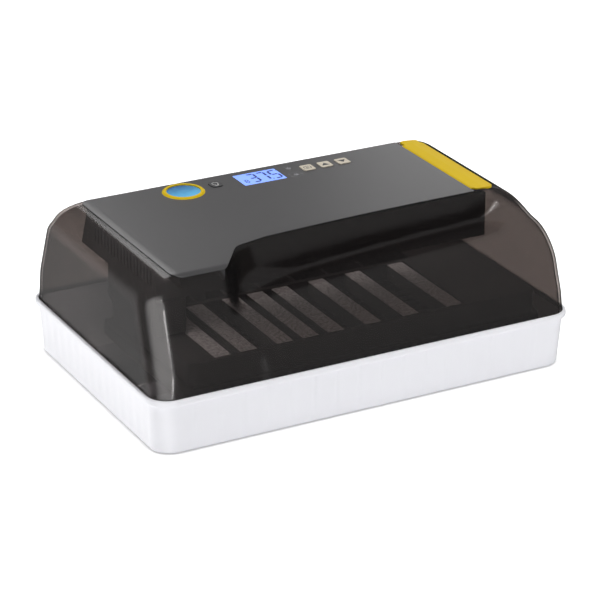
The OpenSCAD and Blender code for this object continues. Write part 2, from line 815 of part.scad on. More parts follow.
module divider(i) {
    x = divider_x[i];
    y0 = frame_box[2] + rail + 0.2;
    y1 = mid_y[0] - 0.2;
    color([0.25, 0.24, 0.25]) difference() {
        box(x - divider_w / 2, x + divider_w / 2, y0, y1, seat_z, divider_top);
        box(x - divider_w / 2 + 2, x + divider_w / 2 - 2, y0 + 4, y1 - 4, seat_z - 1, divider_top - 2);
    }
}

base_tray();
foot_pads();
egg_floor();
turner_frame();
turner_rack();
back_ribs();
divider(0);  // divider_1
divider(1);  // divider_2
divider(2);  // divider_3
divider(3);  // divider_4
divider(4);  // divider_5
divider(5);  // divider_6
divider(6);  // divider_7
divider(7);  // divider_8
cover_shell();
panel_skin();
refill_flap();
flap_pin();
refill_spout();
control_box();
box_screws();
turner_housing();
turner_motor();
motor_screws();
drive_shaft();
drive_pinion();
fan_frame();
fan_rotor();
fan_guard();
fan_screws();
heater_coil();
heater_mount();
control_board();
board_screws();
power_supply();
display_module();
display_window();
set_key();
up_key();
down_key();
lamp_key();
key_switches();
status_lights();
candler_ring();
candler_lens();
candler_led();
temp_probe();
power_inlet();
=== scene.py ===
"""Looks of a desktop egg incubator: smoked cover, white tray, printed panel and what shows
through the cover."""

import json
import math

import bmesh
import bpy
import numpy as np
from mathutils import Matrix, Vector


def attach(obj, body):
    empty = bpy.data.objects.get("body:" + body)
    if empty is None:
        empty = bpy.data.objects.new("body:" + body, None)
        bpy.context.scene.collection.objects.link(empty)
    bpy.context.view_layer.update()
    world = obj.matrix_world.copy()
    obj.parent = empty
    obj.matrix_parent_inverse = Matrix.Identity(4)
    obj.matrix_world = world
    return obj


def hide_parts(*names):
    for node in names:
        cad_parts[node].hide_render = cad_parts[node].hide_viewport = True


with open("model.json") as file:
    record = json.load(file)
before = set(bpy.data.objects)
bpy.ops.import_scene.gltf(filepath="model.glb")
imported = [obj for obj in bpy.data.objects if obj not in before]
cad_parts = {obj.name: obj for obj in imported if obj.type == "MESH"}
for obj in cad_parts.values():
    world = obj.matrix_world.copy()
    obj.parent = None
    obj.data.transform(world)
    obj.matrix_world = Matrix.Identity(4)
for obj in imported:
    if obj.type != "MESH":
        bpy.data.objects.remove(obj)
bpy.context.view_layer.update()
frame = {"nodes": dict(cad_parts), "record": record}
nodes = frame["nodes"]
MM = 0.001

# ---------- sizes, in millimetres ----------

HALF_X, HALF_Y = 180.0, 116.6
RIM_Z, TOP_Z, LEDGE_Z = 46.0, 130.4, 43.6
END_R, END_H, CORNER_R, ROOF_CORNER_R = 34.0, 21.0, 17.0, 8.0
RIGHT_END = (38.0, 26.0)  # the right end of the roof is rounder than END_R and END_H
END_LEAN, FRONT_LEAN, BACK_LEAN = 1.2 / 63.4, 0.323, 0.397
WALL, SKIN = 2.2, 0.6
TONGUE = (-104.0, -88.0)
STEP_Y = -45.0
FLAP_X, FLAP_Y = (135.6, 154.5), (-40.0, 81.5)
SPOUT_AT, SPOUT_R = (149.7, 70.0), 3.9
KEY_X, KEY_Y, KEY_SIZE = (41.2, 57.2, 73.3), 63.2, (10.4, 11.4)
LAMP_KEY, LAMP_KEY_SIZE = (-41.0, 64.8), (10.0, 12.0)
LCD_AT, LCD_SIZE = (-2.2, 63.2), (37.6, 24.0)
RING_AT, LENS_R = (-70.2, 62.6), 13.8
LIGHT_AT, LIGHT_R = ((27.0, 69.5), (26.4, 54.5)), 2.2
INLET_X = 104.0
WINDOW_Z, WINDOW_RISE, WINDOW_TILT, WINDOW_LIFT = 98.8, 0.045, math.radians(5), 9.0
STEP_BEND, STEP_BEND_END, STEP_BEND_LEN = 6.8, 100.0, 161.0
VISOR_R, PANEL_EDGE_R = 30.0, 2.5
BEAD_PITCH, WAVE_PITCH = 19.6, 14.0


# ---------- small helpers ----------

def smoothstep(low, high, t):
    t = np.clip((t - low) / (high - low), 0, 1)
    return t * t * (3 - 2 * t)


def mix(a, b, t):
    return a + (b - a) * t


def both(a, b, r):
    """Inside both a and b, their edge rounded by radius r."""
    u, v = np.maximum(a + r, 0), np.maximum(b + r, 0)
    return np.minimum(-r, np.maximum(a, b)) + np.hypot(u, v)


def either(a, b, r):
    """Inside a or b, with a fillet of radius r between them."""
    u, v = np.maximum(r - a, 0), np.maximum(r - b, 0)
    return np.maximum(r, np.minimum(a, b)) - np.hypot(u, v)


def arc(cx, cy, r, a0, a1, n):
    angles = np.radians(np.linspace(a0, a1, n + 1))
    return [(cx + r * math.cos(a), cy + r * math.sin(a)) for a in angles]


def round_rect(x0, x1, y0, y1, r, n=8):
    return (arc(x1 - r, y1 - r, r, 0, 90, n) + arc(x0 + r, y1 - r, r, 90, 180, n)
            + arc(x0 + r, y0 + r, r, 180, 270, n) + arc(x1 - r, y0 + r, r, 270, 360, n))


def plate_rect(at, size, r, grow=0.0):
    w, h = size[0] / 2 + grow, size[1] / 2 + grow
    return round_rect(at[0] - w, at[0] + w, at[1] - h, at[1] + h, r)


def new_object(name, points, faces, material=None):
    """A mesh object from points in millimetres."""
    mesh = bpy.data.meshes.new(name)
    mesh.from_pydata([tuple(c * MM for c in p) for p in points], [], faces)
    mesh.update()
    made = bpy.data.objects.new(name, mesh)
    bpy.context.scene.collection.objects.link(made)
    if material:
        mesh.materials.append(material)
    return made


def prism(name, outline, z0, z1, material=None):
    """An outline in plan, between two heights."""
    n = len(outline)
    points = [(x, y, z0) for x, y in outline] + [(x, y, z1) for x, y in outline]
    sides = [(i, (i + 1) % n, n + (i + 1) % n, n + i) for i in range(n)]
    return new_object(name, points, [tuple(reversed(range(n))), tuple(range(n, 2 * n))] + sides, material)


def tidy(made):
    """Outward normals and no doubled points."""
    bm = bmesh.new()
    bm.from_mesh(made.data)
    bmesh.ops.remove_doubles(bm, verts=bm.verts, dist=1e-6)
    bmesh.ops.recalc_face_normals(bm, faces=bm.faces)
    bm.to_mesh(made.data)
    bm.free()


def apply_modifiers(made):
    bpy.context.view_layer.update()
    evaluated = made.evaluated_get(bpy.context.evaluated_depsgraph_get())
    mesh = bpy.data.meshes.new_from_object(evaluated)
    old = made.data
    made.modifiers.clear()
    made.data = mesh
    bpy.data.meshes.remove(old)


def cut(made, tool, operation="DIFFERENCE"):
    """Applies a boolean with tool, and removes tool."""
    step = made.modifiers.new("cut", "BOOLEAN")
    step.operation, step.object, step.solver = operation, tool, "EXACT"
    apply_modifiers(made)
    bpy.data.objects.remove(tool)


def bevel(made, width, segments=2, angle=35):
    step = made.modifiers.new("bevel", "BEVEL")
    step.width, step.segments, step.limit_method = width * MM, segments, "ANGLE"
    step.angle_limit = math.radians(angle)
    step.harden_normals = False


def smooth_by_angle(made, angle=35):
    with bpy.context.temp_override(object=made, active_object=made, selected_editable_objects=[made]):
        bpy.ops.object.shade_smooth_by_angle(angle=math.radians(angle))


def finish_piece(made, body, slot, *stood_for):
    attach(made, body)
    if stood_for:
        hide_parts(*stood_for)
    return made


# ---------- materials ----------

def new_material(name):
    material = bpy.data.materials.new(name)
    material.use_nodes = True
    return material, material.node_tree.nodes, material.node_tree.links


def plastic(name, color, rough, grain=0.0, grain_size=900.0, vary=0.06, rough_vary=0.08, coat=0.0,
            specular=0.5):
    """Moulded plastic: slight colour drift, uneven gloss and a fine spark-eroded grain."""
    material, tree, link = new_material(name)
    shader = tree["Principled BSDF"]
    shader.inputs["Specular IOR Level"].default_value = specular
    shader.inputs["Coat Weight"].default_value = coat
    shader.inputs["Coat Roughness"].default_value = 0.08
    where = tree.new("ShaderNodeTexCoord")
    drift = tree.new("ShaderNodeTexNoise")
    drift.inputs["Scale"].default_value = 9.0
    drift.inputs["Detail"].default_value = 4.0
    link.new(where.outputs["Object"], drift.inputs["Vector"])
    shade = tree.new("ShaderNodeValToRGB")
    shade.color_ramp.elements[0].color = (*[c * (1 - vary) for c in color], 1)
    shade.color_ramp.elements[1].color = (*[min(1.0, c * (1 + vary)) for c in color], 1)
    shade.color_ramp.elements[0].position, shade.color_ramp.elements[1].position = 0.3, 0.7
    link.new(drift.outputs["Fac"], shade.inputs["Fac"])
    link.new(shade.outputs["Color"], shader.inputs["Base Color"])
    gloss = tree.new("ShaderNodeMapRange")
    gloss.inputs["To Min"].default_value = max(0.02, rough * (1 - rough_vary))
    gloss.inputs["To Max"].default_value = rough * (1 + rough_vary)
    link.new(drift.outputs["Fac"], gloss.inputs["Value"])
    link.new(gloss.outputs["Result"], shader.inputs["Roughness"])
    if grain:
        speck = tree.new("ShaderNodeTexNoise")
        speck.inputs["Scale"].default_value = grain_size
        speck.inputs["Detail"].default_value = 3.0
        link.new(where.outputs["Object"], speck.inputs["Vector"])
        bump = tree.new("ShaderNodeBump")
        bump.inputs["Strength"].default_value = grain
        bump.inputs["Distance"].default_value = 0.0002
        link.new(speck.outputs["Fac"], bump.inputs["Height"])
        link.new(bump.outputs["Normal"], shader.inputs["Normal"])
    return material


def speckled(name, dark, light, shade_below):
    """Coarse moulded texture, speckled lighter above a height in metres; below that height, painted shade
    darkens the sides to three tenths of the dark tone.
    """
    material, tree, link = new_material(name)
    shader = tree["Principled BSDF"]
    shader.inputs["Roughness"].default_value = 0.6
    where = tree.new("ShaderNodeTexCoord")
    cells = tree.new("ShaderNodeTexNoise")
    cells.inputs["Scale"].default_value = 420.0
    cells.inputs["Detail"].default_value = 3.0
    link.new(where.outputs["Object"], cells.inputs["Vector"])
    tone = tree.new("ShaderNodeValToRGB")
    tone.color_ramp.elements[0].color, tone.color_ramp.elements[1].color = (*dark, 1), (*light, 1)
    tone.color_ramp.elements[0].position, tone.color_ramp.elements[1].position = 0.38, 0.62
    link.new(cells.outputs["Fac"], tone.inputs["Fac"])
    parts = tree.new("ShaderNodeSeparateXYZ")
    link.new(where.outputs["Object"], parts.inputs["Vector"])
    level = tree.new("ShaderNodeMapRange")
    level.inputs["From Min"].default_value = shade_below
    level.inputs["From Max"].default_value = shade_below + 0.0004
    link.new(parts.outputs["Z"], level.inputs["Value"])
    # Painted shade: below the given height the sides lose their speckle and are darkened, as if in shadow.
    side_shade = tree.new("ShaderNodeMix")
    side_shade.data_type = "RGBA"
    side_shade.inputs["A"].default_value = (*[c * 0.3 for c in dark], 1)
    link.new(level.outputs["Result"], side_shade.inputs["Factor"])
    link.new(tone.outputs["Color"], side_shade.inputs["B"])
    link.new(side_shade.outputs["Result"], shader.inputs["Base Color"])
    bump = tree.new("ShaderNodeBump")
    bump.inputs["Strength"].default_value = 0.2
    bump.inputs["Distance"].default_value = 0.0003
    link.new(cells.outputs["Fac"], bump.inputs["Height"])
    link.new(bump.outputs["Normal"], shader.inputs["Normal"])
    return material


def metal(name, color, rough):
    """Bright metal with fine brushing."""
    material, tree, link = new_material(name)
    shader = tree["Principled BSDF"]
    shader.inputs["Metallic"].default_value = 1.0
    where = tree.new("ShaderNodeTexCoord")
    brush = tree.new("ShaderNodeTexNoise")
    stretch = tree.new("ShaderNodeMapping")
    stretch.inputs["Scale"].default_value = (1500, 60, 60)
    link.new(where.outputs["Object"], stretch.inputs["Vector"])
    link.new(stretch.outputs["Vector"], brush.inputs["Vector"])
    tone = tree.new("ShaderNodeValToRGB")
    tone.color_ramp.elements[0].color = (*[c * 0.8 for c in color], 1)
    tone.color_ramp.elements[1].color = (*color, 1)
    link.new(brush.outputs["Fac"], tone.inputs["Fac"])
    link.new(tone.outputs["Color"], shader.inputs["Base Color"])
    gloss = tree.new("ShaderNodeMapRange")
    gloss.inputs["To Min"].default_value, gloss.inputs["To Max"].default_value = rough * 0.8, rough * 1.25
    link.new(brush.outputs["Fac"], gloss.inputs["Value"])
    link.new(gloss.outputs["Result"], shader.inputs["Roughness"])
    return material


def schlick(tree, link, least, most):
    """How much a clear surface reflects: least square on, and most edge on."""
    facing = tree.new("ShaderNodeLayerWeight")
    facing.inputs["Blend"].default_value = 0.5
    fifth = tree.new("ShaderNodeMath")
    fifth.operation = "POWER"
    fifth.inputs[1].default_value = 5.0
    link.new(facing.outputs["Facing"], fifth.inputs[0])
    share = tree.new("ShaderNodeMapRange")
    share.inputs["To Min"].default_value, share.inputs["To Max"].default_value = least, most
    link.new(fifth.outputs["Value"], share.inputs["Value"])
    return share.outputs["Result"]


def smoked(name, tint, haze, least=0.035):
    """Clear brown-grey plastic: tinted view through, a trace of haze, and a soft reflection."""
    material, tree, link = new_material(name)
    tree.remove(tree["Principled BSDF"])
    out = tree["Material Output"]
    clear = tree.new("ShaderNodeBsdfTransparent")
    depth = tree.new("ShaderNodeLayerWeight")
    depth.inputs["Blend"].default_value = 0.5
    darker = tree.new("ShaderNodeValToRGB")
    darker.color_ramp.elements[0].color = (*tint, 1)
    darker.color_ramp.elements[0].position = 0.45
    darker.color_ramp.elements[1].color = (*[c ** 6 for c in tint], 1)
    darker.color_ramp.elements[1].position = 0.74
    darker.color_ramp.elements.new(0.6).color = (*[c * 0.74 for c in tint], 1)
    link.new(depth.outputs["Facing"], darker.inputs["Fac"])
    link.new(darker.outputs["Color"], clear.inputs["Color"])
    veil = tree.new("ShaderNodeBsdfDiffuse")
    veil.inputs["Color"].default_value = (*haze, 1)
    inside = tree.new("ShaderNodeMixShader")
    inside.inputs["Fac"].default_value = 0.05
    link.new(clear.outputs["BSDF"], inside.inputs[1])
    link.new(veil.outputs["BSDF"], inside.inputs[2])
    shine = tree.new("ShaderNodeBsdfGlossy")
    shine.inputs["Roughness"].default_value = 0.13
    shine.inputs["Color"].default_value = (1, 1, 1, 1)
    where = tree.new("ShaderNodeTexCoord")
    ripple = tree.new("ShaderNodeTexNoise")
    ripple.inputs["Scale"].default_value = 14.0
    link.new(where.outputs["Object"], ripple.inputs["Vector"])
    bump = tree.new("ShaderNodeBump")
    bump.inputs["Strength"].default_value = 0.06
    bump.inputs["Distance"].default_value = 0.002
    link.new(ripple.outputs["Fac"], bump.inputs["Height"])
    link.new(bump.outputs["Normal"], shine.inputs["Normal"])
    outer = tree.new("ShaderNodeMixShader")
    link.new(schlick(tree, link, least, 0.1), outer.inputs["Fac"])
    link.new(inside.outputs["Shader"], outer.inputs[1])
    link.new(shine.outputs["BSDF"], outer.inputs[2])
    link.new(outer.outputs["Shader"], out.inputs["Surface"])
    return material


def lit(name, color, glow, strength):
    """A part lit from behind."""
    material, tree, link = new_material(name)
    shader = tree["Principled BSDF"]
    shader.inputs["Roughness"].default_value = 0.2
    where = tree.new("ShaderNodeTexCoord")
    cloud = tree.new("ShaderNodeTexNoise")
    cloud.inputs["Scale"].default_value = 60.0
    link.new(where.outputs["Object"], cloud.inputs["Vector"])
    tone = tree.new("ShaderNodeValToRGB")
    tone.color_ramp.elements[0].color = (*[c * 0.85 for c in color], 1)
    tone.color_ramp.elements[1].color = (*color, 1)
    link.new(cloud.outputs["Fac"], tone.inputs["Fac"])
    link.new(tone.outputs["Color"], shader.inputs["Base Color"])
    shader.inputs["Emission Color"].default_value = (*glow, 1)
    shader.inputs["Emission Strength"].default_value = strength
    return material


def lens_glow(name):
    """Clear blue lens with faint moulded rays; painted shade darkens it towards its back, under its recessed
    rim, so it is brighter towards its front.
    """
    material, tree, link = new_material(name)
    shader = tree["Principled BSDF"]
    shader.inputs["Roughness"].default_value = 0.12
    where = tree.new("ShaderNodeTexCoord")
    parts = tree.new("ShaderNodeSeparateXYZ")
    link.new(where.outputs["Object"], parts.inputs["Vector"])
    # Painted shade: the lens darkens from front to back, as if shaded by its recessed rim.
    slope = tree.new("ShaderNodeMapRange")
    slope.inputs["From Min"].default_value, slope.inputs["From Max"].default_value = 0.076, 0.05
    link.new(parts.outputs["Y"], slope.inputs["Value"])
    rays = tree.new("ShaderNodeTexNoise")
    rays.inputs["Scale"].default_value = 160.0
    link.new(where.outputs["Object"], rays.inputs["Vector"])
    mixed = tree.new("ShaderNodeMath")
    mixed.operation = "MULTIPLY_ADD"
    mixed.inputs[1].default_value, mixed.inputs[2].default_value = 0.35, -0.17
    link.new(rays.outputs["Fac"], mixed.inputs[0])
    total = tree.new("ShaderNodeMath")
    link.new(slope.outputs["Result"], total.inputs[0])
    link.new(mixed.outputs["Value"], total.inputs[1])
    tone = tree.new("ShaderNodeValToRGB")
    tone.color_ramp.elements[0].color = (0.012, 0.07, 0.2, 1)
    tone.color_ramp.elements[1].color = (0.09, 0.38, 0.62, 1)
    link.new(total.outputs["Value"], tone.inputs["Fac"])
    link.new(tone.outputs["Color"], shader.inputs["Base Color"])
    link.new(tone.outputs["Color"], shader.inputs["Emission Color"])
    shader.inputs["Emission Strength"].default_value = 0.45
    return material


WHITE = plastic("white_plastic", (0.86, 0.86, 0.9), 0.32, grain=0.05, vary=0.01, coat=0.15)
RUBBER = plastic("foot_rubber", (0.5, 0.5, 0.52), 0.75, grain=0.3)
BLACK = plastic("black_plastic", (0.016, 0.016, 0.017), 0.5, grain=0.12, grain_size=2600, vary=0.1)
TURNER = plastic("turner_plastic", (0.03, 0.028, 0.029), 0.5, grain=0.15, grain_size=2200, vary=0.1)
# Dividers: speckled tops, with painted shade on their sides below 58.9 mm.
DIVIDER = speckled("divider_plastic", (0.27, 0.26, 0.265), (0.52, 0.5, 0.51), 0.0589)
SMOKE = smoked("smoked_plastic", (0.55, 0.515, 0.5), (0.16, 0.15, 0.15))
PANEL = plastic("panel_film", (0.052, 0.0505, 0.052), 0.3, grain=0.1, grain_size=2600, vary=0.03)
YELLOW = plastic("yellow_plastic", (0.68, 0.47, 0.008), 0.5, grain=0.15, vary=0.03, specular=0.12)
STEEL = metal("steel", (0.62, 0.62, 0.64), 0.25)
BRASS = metal("brass_plate", (0.75, 0.58, 0.28), 0.3)
NYLON = plastic("gear_nylon", (0.75, 0.72, 0.62), 0.4)
CERAMIC = plastic("heater_ceramic", (0.8, 0.79, 0.75), 0.7, grain=0.3)
WIRE = metal("heater_wire", (0.3, 0.2, 0.15), 0.4)
BOARD = plastic("circuit_board", (0.012, 0.11, 0.035), 0.3, vary=0.3)
GREY = plastic("display_grey", (0.3, 0.32, 0.35), 0.4)
BLUE_GLOW = lit("display_blue", (0.2, 0.3, 0.8), (0.2, 0.36, 1.0), 0.8)
CREAM = plastic("key_cream", (0.6, 0.54, 0.44), 0.5, grain=0.15, vary=0.03)
KEY_GREY = plastic("key_grey", (0.035, 0.035, 0.037), 0.4, grain=0.1)
LIGHT = plastic("light_grey", (0.2, 0.2, 0.21), 0.25)
LED = plastic("led_yellow", (0.75, 0.62, 0.2), 0.25)
INK = plastic("white_ink", (0.7, 0.7, 0.68), 0.5, vary=0.02)
DARK_INK = plastic("dark_ink", (0.02, 0.02, 0.022), 0.4, vary=0.02)
DIGIT = plastic("display_digit", (0.01, 0.03, 0.22), 0.3, vary=0.02)

LENS = lens_glow("lens_blue")

SLOT_MATERIAL = {
    "white_plastic": WHITE, "foot_rubber": RUBBER, "black_plastic": BLACK, "turner_plastic": TURNER,
    "divider_plastic": DIVIDER, "smoked_plastic": SMOKE, "panel_film": PANEL, "yellow_plastic": YELLOW,
    "steel": STEEL, "brass_plate": BRASS, "gear_nylon": NYLON, "heater_ceramic": CERAMIC,
    "heater_wire": WIRE, "circuit_board": BOARD, "display_grey": GREY, "display_blue": BLUE_GLOW,
    "key_cream": CREAM, "key_grey": KEY_GREY, "light_grey": LIGHT, "lens_blue": LENS, "led_yellow": LED,
}


# ---------- smoked cover ----------

def front_plane(y, z):
    """How far a point stands out of the leaning front wall."""
    up = np.maximum(z, RIM_Z) - RIM_Z
    return (-y - (HALF_Y - FRONT_LEAN * up)) * math.cos(math.atan(FRONT_LEAN))


def cover_body(x, y, z):
    """The cover without its low window: below 0 inside, in millimetres."""
    up = np.maximum(z, RIM_Z) - RIM_Z
    end = (np.abs(x) - (HALF_X - END_LEAN * up)) * math.cos(math.atan(END_LEAN))
    back = (y - (HALF_Y - BACK_LEAN * up)) * math.cos(math.atan(BACK_LEAN))
    long, tall = np.where(x > 0, RIGHT_END[0], END_R), np.where(x > 0, RIGHT_END[1], END_H)
    out, top = np.maximum(end + long, 0) / long, np.maximum(z - TOP_Z + tall, 0) / tall
    steep = np.maximum(np.hypot(out / long, top / tall), 1e-6)
    reach = np.hypot(out, top)
    roof = np.where(reach > 0, (reach - 1) * reach / steep, np.maximum(end, z - TOP_Z))
    upward = (top / tall) / steep
    tight = mix(CORNER_R - 2, ROOF_CORNER_R, smoothstep(46, 75, z))
    large = (1 - smoothstep(-60, 60, x)) * (1 - smoothstep(-50, 30, y))
    upright = mix(tight, mix(CORNER_R, 20.0, smoothstep(46, 62, z)), large)
    rounded = mix(1.2, 5.0, 1 - smoothstep(-50, 30, y))
    corner = mix(upright, rounded, mix(smoothstep(0.6, 1.0, upward), upward ** 2, large))
    return both(roof, np.maximum(front_plane(y, z), back), corner)


def cover_field(x, y, z):
    """The cover's outside, with the low window sunk into its front right."""
    step = STEP_Y - STEP_BEND * (np.maximum(STEP_BEND_END - x, 0) / STEP_BEND_LEN) ** 2 - y
    diagonal = (x - TONGUE[0]) * 0.831 - (y - TONGUE[1]) * 0.557
    ridge = x + 96 + 8 * np.clip((z - 104) / 27, 0, 1.2) ** 2
    cheek = -both(-diagonal, -ridge, 6.0)
    scoop = -both(-step, -cheek, 14.0)
    crease = WINDOW_Z + WINDOW_RISE * x + WINDOW_LIFT * smoothstep(144, 174, x)
    floor = (z - crease - math.tan(WINDOW_TILT) * (y - STEP_Y)) * math.cos(WINDOW_TILT)
    fillet = mix(mix(14.0, 3.0, smoothstep(5, 45, cheek)), 24.0, smoothstep(136, 168, x))
    window = either(scoop, floor, fillet)
    front = front_plane(y, z)
    visor = both(window, front, VISOR_R)
    right = smoothstep(130, 165, x)
    edge = mix(mix(PANEL_EDGE_R, 12.5, right), 0.3, smoothstep(2, 12, scoop) * (1 - right))
    edge = mix(edge, 0.3, smoothstep(30, 70, front - window))
    return both(cover_body(x, y, z), visor, edge)


def gradient(field, p, h=0.05):
    g = np.empty_like(p)
    for i in range(3):
        d = np.zeros(3)
        d[i] = h
        g[:, i] = (field(*(p + d).T) - field(*(p - d).T)) / (2 * h)
    return g


def net(field, low, high, pitch):
    """Surface net of field = 0 over a grid: points on the surface, and quads."""
    axes = [np.arange(a, b + pitch, pitch) for a, b in zip(low, high)]
    values = field(*np.meshgrid(*axes, indexing="ij"))
    inside = values < 0
    corners = [inside[i:inside.shape[0] - 1 + i, j:inside.shape[1] - 1 + j, k:inside.shape[2] - 1 + k]
               for i in (0, 1) for j in (0, 1) for k in (0, 1)]
    count = sum(c.astype(np.int8) for c in corners)
    mixed = (count > 0) & (count < 8)
    index = np.full(mixed.shape, -1)
    index[mixed] = np.arange(mixed.sum())
    cells = np.argwhere(mixed)
    points = np.stack([axes[i][cells[:, i]] + pitch / 2 for i in range(3)], 1)
    for _ in range(6):
        g = gradient(field, points)
        points -= (field(*points.T) / np.maximum((g * g).sum(1), 0.2))[:, None] * g
    quads = []
    for axis in range(3):
        a, b = [i for i in range(3) if i != axis]
        first = [slice(None)] * 3
        second = [slice(None)] * 3
        first[axis], second[axis] = slice(0, -1), slice(1, None)
        one, two = inside[tuple(first)], inside[tuple(second)]
        edges = np.argwhere(one != two)
        edges = edges[(edges[:, a] > 0) & (edges[:, b] > 0)]
        edges = edges[(edges[:, a] < mixed.shape[a]) & (edges[:, b] < mixed.shape[b])]
        ring = []
        for da, db in ((-1, -1), (0, -1), (0, 0), (-1, 0)):
            cell = edges.copy()
            cell[:, a] += da
            cell[:, b] += db
            ring.append(index[tuple(cell.T)])
        ring = np.stack(ring, 1)
        flip = one[tuple(edges.T)] == (axis == 1)
        ring[flip] = ring[flip][:, ::-1]
        quads.append(ring)
    quads = np.concatenate(quads)
    return points, quads[(quads >= 0).all(1)]


def analytic_normals(made, field):
    """Shades the outside and inside by the field's own slope, and cut faces flat."""
    mesh = made.data
    n = len(mesh.vertices)
    co = np.empty(n * 3)
    mesh.vertices.foreach_get("co", co)
    g = gradient(field, co.reshape(-1, 3) / MM)
    g /= np.maximum(np.linalg.norm(g, axis=1), 1e-6)[:, None]
    loops = np.empty(len(mesh.loops), int)
    mesh.loops.foreach_get("vertex_index", loops)
    face_normal = np.empty(len(mesh.polygons) * 3)
    mesh.polygons.foreach_get("normal", face_normal)
    total = np.empty(len(mesh.polygons), int)
    mesh.polygons.foreach_get("loop_total", total)
    face_normal = np.repeat(face_normal.reshape(-1, 3), total, axis=0)
    slope = g[loops]
    agree = (slope * face_normal).sum(1)
    chosen = np.where((agree > 0.72)[:, None], slope, np.where((agree < -0.72)[:, None], -slope, face_normal))
    for p in mesh.polygons:
        p.use_smooth = True
    mesh.normals_split_custom_set(chosen.tolist())


def outlines_through_top():
    """Every opening that the top has for keys, display, candler and lights."""
    holes = [plate_rect((x, KEY_Y), KEY_SIZE, 1.6, 0.2) for x in KEY_X]
    holes.append(plate_rect(LAMP_KEY, LAMP_KEY_SIZE, 4.0, 0.2))
    holes.append(plate_rect(LCD_AT, LCD_SIZE, 1.0))
    holes.append(arc(*RING_AT, LENS_R + 1.2, 0, 360, 64)[:-1])
    holes += [arc(*p, LIGHT_R, 0, 360, 24)[:-1] for p in LIGHT_AT]
    return holes


def sheet_on_top(name, x0, x1, y0, y1, low, high, material=None):
    """A sheet that follows the cover's top, between two offsets from it."""
    xs, ys = np.arange(x0, x1 + 1.5, 1.5), np.arange(y0, y1 + 1.5, 1.5)
    grid_x, grid_y = np.meshgrid(xs, ys, indexing="ij")
    levels = []
    for offset in (low, high):
        under, over = np.full(grid_x.shape, 95.0), np.full(grid_x.shape, TOP_Z + 8)
        for _ in range(24):
            middle = (under + over) / 2
            inside = cover_body(grid_x, grid_y, middle) < offset
            under, over = np.where(inside, middle, under), np.where(inside, over, middle)
        levels.append(np.stack([grid_x, grid_y, under], -1).reshape(-1, 3))
    nx, ny = len(xs), len(ys)
    n = nx * ny
    faces = []
    for i in range(nx - 1):
        for j in range(ny - 1):
            a, b, c, d = i * ny + j, (i + 1) * ny + j, (i + 1) * ny + j + 1, i * ny + j + 1
            faces += [(d, c, b, a), (n + a, n + b, n + c, n + d)]
    rim = [i * ny for i in range(nx)] + [(nx - 1) * ny + j for j in range(1, ny)]
    rim += [i * ny + ny - 1 for i in range(nx - 2, -1, -1)] + [j for j in range(ny - 2, 0, -1)]
    faces += [(a, b, n + b, n + a) for a, b in zip(rim, rim[1:] + rim[:1])]
    return new_object(name, np.concatenate(levels).tolist(), faces, material)


def make_cover():
    pitch = 2.0
    low = (-HALF_X - 4, -HALF_Y - 4, LEDGE_Z - pitch)
    points, quads = net(cover_field, low, (HALF_X + 4, HALF_Y + 4, TOP_Z + 4), pitch)
    g = gradient(cover_field, points)
    g /= np.linalg.norm(g, axis=1)[:, None]
    foot = points[:, 2] < LEDGE_Z
    points[foot, 2] = LEDGE_Z
    inner = points - WALL * g
    inner[foot, 2] = LEDGE_Z
    n = len(points)
    pairs = {}
    for q in quads:
        for i in range(4):
            pairs[(q[i], q[(i + 1) % 4])] = True
    ring = [(a, b) for a, b in pairs if (b, a) not in pairs]
    faces = [tuple(q) for q in quads] + [tuple(q[::-1] + n) for q in quads]
    faces += [(b, a, a + n, b + n) for a, b in ring]
    made = new_object("smoked_cover", np.concatenate([points, inner]).tolist(), faces, SMOKE)
    tidy(made)
    for i, outline in enumerate(outlines_through_top()):
        cut(made, prism(f"hole_{i}", outline, TOP_Z - 6, TOP_Z + 4))
    pocket = sheet_on_top("pocket", FLAP_X[0] - 5, FLAP_X[1] + 5, FLAP_Y[0] - 5, FLAP_Y[1] + 5, -1.0, 6.0)
    around_flap = round_rect(FLAP_X[0] - 1.65, FLAP_X[1] + 0.35, FLAP_Y[0] - 0.35, FLAP_Y[1] + 0.35, 5.8)
    cut(pocket, prism("flap_plan", around_flap, 100, 150), "INTERSECT")
    cut(made, pocket)
    cut(made, prism("spout_hole", arc(*SPOUT_AT, SPOUT_R, 0, 360, 32)[:-1], 110, TOP_Z + 4))
    for x in (-60, -36, -12):
        cut(made, prism("vent", round_rect(x, x + 16, 70, 120, 1.4), 96, 99))
    cut(made, prism("inlet_hole", round_rect(INLET_X - 12.1, INLET_X + 12.1, 70, 120, 1), 100.9, 115.1))
    analytic_normals(made, cover_field)
    return finish_piece(made, "cover", "smoked_plastic", "cover_shell")


make_cover()


# ---------- white tray ----------

def tray_ring(hx, hy, r, z, bead=0.0, wave=0.0):
    """One level of the tray: beads on the long sides, waves on the ends."""
    points = []
    sides = ((hx - r, hy, 1, 0), (hy - r, hx, 0, 1))
    for quarter in range(4):
        half, out, front, _ = sides[quarter % 2]
        sign = -1 if quarter < 2 else 1
        steps = 280 if front else 180
        for i in range(steps):
            along = half * (2 * i / steps - 1)
            if front:
                near = along % BEAD_PITCH - BEAD_PITCH / 2
                grow = bead * math.exp(-(near / 1.1) ** 2)
            else:
                grow = -wave * abs(math.cos(math.pi * along / WAVE_PITCH))
            move = along if quarter in (0, 1) else -along
            points.append((move, sign * (out + grow), z) if front else (-sign * (out + grow), move, z))
        cx = (hx - r) * (1 if quarter in (0, 1) else -1)
        cy = (hy - r) * (-1 if quarter in (0, 3) else 1)
        a0 = -90 + 90 * quarter
        points += [(x, y, z) for x, y in arc(cx, cy, r, a0, a0 + 90, 14)[:-1]]
    return points


